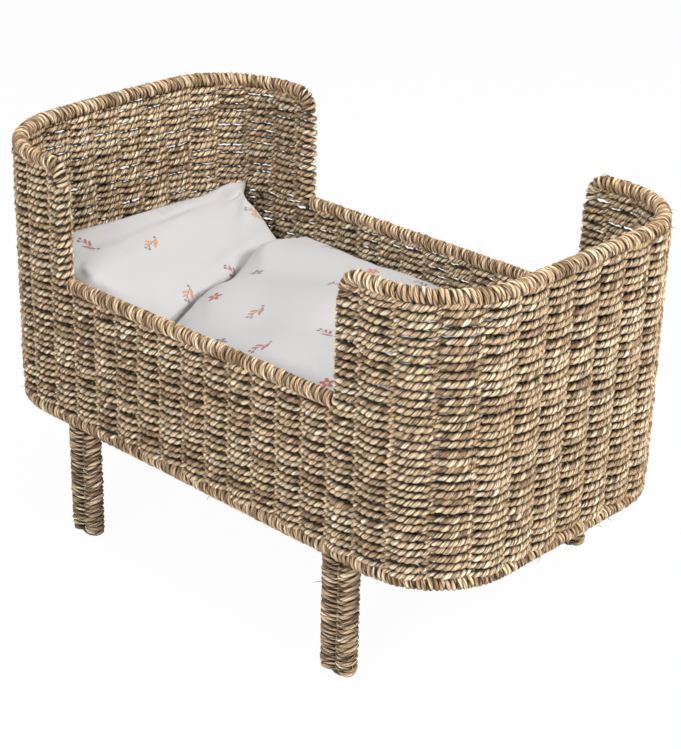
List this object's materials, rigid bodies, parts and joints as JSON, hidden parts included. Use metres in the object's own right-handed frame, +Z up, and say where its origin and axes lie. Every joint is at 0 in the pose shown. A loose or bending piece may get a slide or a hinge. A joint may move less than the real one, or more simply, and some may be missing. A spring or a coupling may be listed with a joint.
{
  "type": "doll bed",
  "caption": "Woven doll bed with a high headboard and footboard wrapping round the corners, low sides, hairpin legs, mattress, duvet and pillow.",
  "frame": {"origin": "on the floor, below the middle of the bed", "axes": "+Z up, +Y from the footboard to the headboard, X across the bed"},
  "size_m": [0.2882, 0.503, 0.3255],
  "materials": {
    "wire": "satin",
    "woven_rope": "matte",
    "rim_rope": "matte",
    "leg_rope": "matte",
    "mattress_cotton": "matte",
    "printed_cotton": "matte"
  },
  "bodies": {
    "bed": {"base_frame": "wire", "head_frame": "wire", "foot_frame": "wire", "left_frame": "wire", "right_frame": "wire", "leg_hairpin_foot_left": "wire", "leg_hairpin_foot_right": "wire", "leg_hairpin_head_left": "wire", "leg_hairpin_head_right": "wire", "weave_lower": "woven_rope", "weave_head": "woven_rope", "weave_foot": "woven_rope", "base_mat": "woven_rope", "base_rim_wrap": "rim_rope", "head_rim_wrap": "rim_rope", "foot_rim_wrap": "rim_rope", "left_rim_wrap": "rim_rope", "right_rim_wrap": "rim_rope", "leg_wrap_foot_left": "leg_rope", "leg_wrap_foot_right": "leg_rope", "leg_wrap_head_left": "leg_rope", "leg_wrap_head_right": "leg_rope"},
    "mattress": {"mattress": "mattress_cotton"},
    "duvet": {"duvet": "printed_cotton"},
    "pillow": {"pillow": "printed_cotton"}
  },
  "joints": [
    {"name": "mattress_lift", "type": "slide", "parent": "bed", "child": "mattress", "axis": [0, 0, 1], "range_m": [0, 0.24]},
    {"name": "duvet_lift", "type": "slide", "parent": "mattress", "child": "duvet", "axis": [0, 0, 1], "range_m": [0, 0.2]},
    {"name": "pillow_lift", "type": "slide", "parent": "mattress", "child": "pillow", "axis": [0, 0, 1], "range_m": [0, 0.2]}
  ]
}
